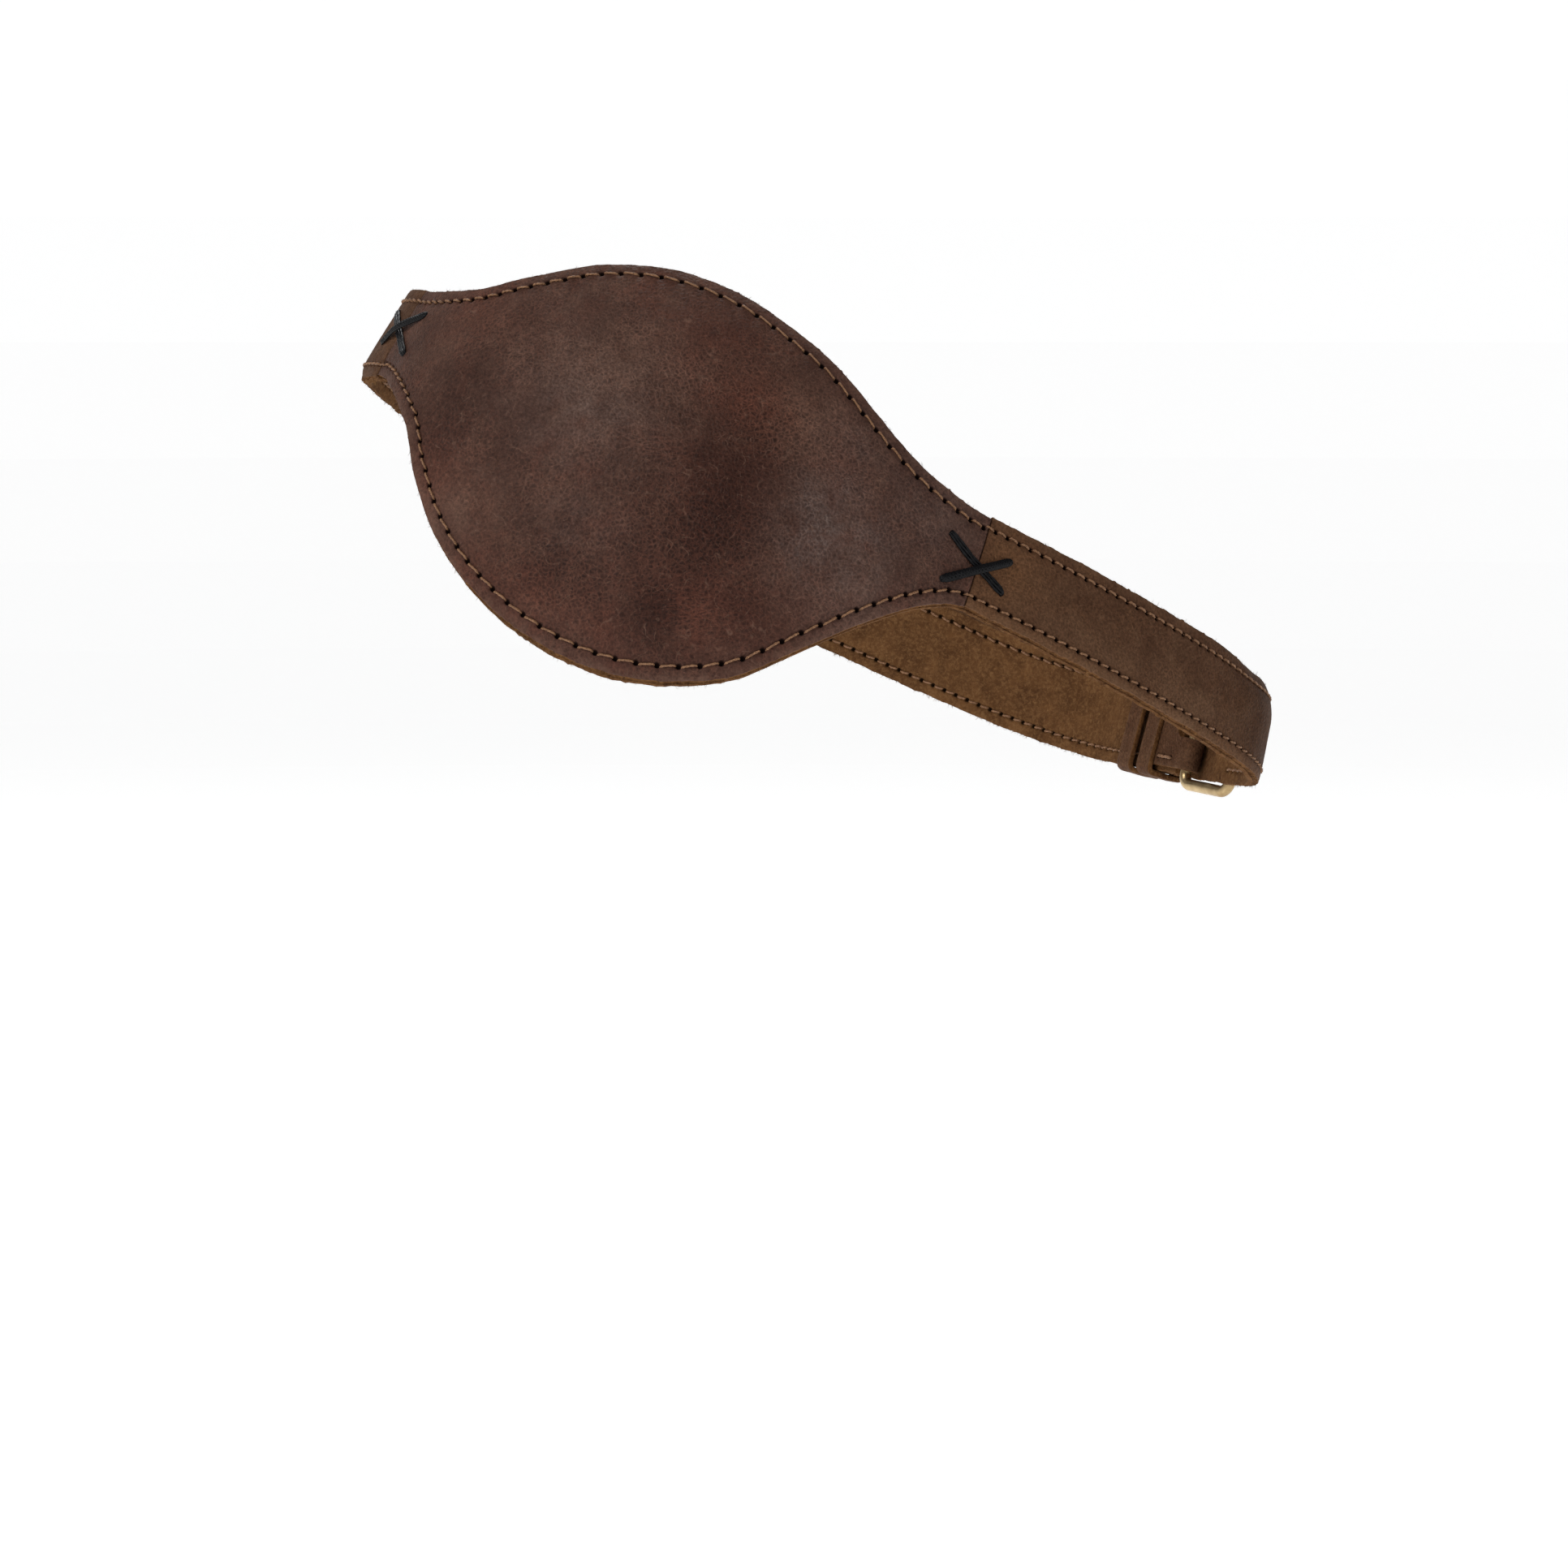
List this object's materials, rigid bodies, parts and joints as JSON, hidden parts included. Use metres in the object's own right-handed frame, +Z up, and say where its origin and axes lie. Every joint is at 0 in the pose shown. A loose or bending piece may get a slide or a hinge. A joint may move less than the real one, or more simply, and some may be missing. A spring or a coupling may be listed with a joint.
{
  "type": "eye patch",
  "caption": "Stitched leather eye patch for the left eye, domed, with a two-layer strap laced to it by black crosses and closed behind the head by a small buckle.",
  "frame": {"origin": "centre of the ring that the band makes round the head, in the plane of the band's middle line", "axes": "-Y is the way the face looks, +X the wearer's left, +Z up on an upright head; the ring's plane is lifted 26 degrees at the front"},
  "size_m": [0.1701, 0.1913, 0.111],
  "materials": {
    "face_leather": "waxed dark brown face leather with a fine grain and a soft sheen",
    "strap_leather": "waxed brown strap leather, a little yellower than the patch",
    "lining_leather": "golden brown suede flesh side, matte and fibrous",
    "tan_thread": "waxed tan sewing thread",
    "black_lace": "black braided lace with a slight sheen",
    "buckle_metal": "antique brass, satin"
  },
  "bodies": {
    "root": {"patch_front": "face_leather", "patch_lining": "lining_leather", "patch_upper_seam": "tan_thread", "patch_lower_seam": "tan_thread", "temple_strap": "strap_leather", "temple_strap_lining": "lining_leather", "temple_strap_upper_seam": "tan_thread", "temple_strap_lower_seam": "tan_thread", "brow_strap": "strap_leather", "brow_strap_lining": "lining_leather", "brow_strap_upper_seam": "tan_thread", "brow_strap_lower_seam": "tan_thread", "temple_cross_stitch": "black_lace", "brow_cross_stitch": "black_lace", "buckle_tab": "strap_leather", "tab_stitching": "tan_thread", "fixed_keeper": "strap_leather"},
    "keeper": {"sliding_keeper": "strap_leather"},
    "frame": {"buckle_frame": "buckle_metal"},
    "prong": {"buckle_prong": "buckle_metal"}
  },
  "joints": [
    {"name": "frame_hinge", "type": "hinge", "parent": "root", "child": "frame", "pos_m": [0.008, 0.08653, -0.04246], "axis": [0, 0.2756, 0.9613], "range_deg": [0, 25]},
    {"name": "prong_hinge", "type": "hinge", "parent": "frame", "child": "prong", "pos_m": [0.008, 0.08653, -0.04246], "axis": [0, 0.2756, 0.9613], "range_deg": [0, 35]},
    {"name": "keeper_slide", "type": "slide", "parent": "root", "child": "keeper", "axis": [-1, 0, 0], "range_m": [-0.003, 0.007]}
  ]
}
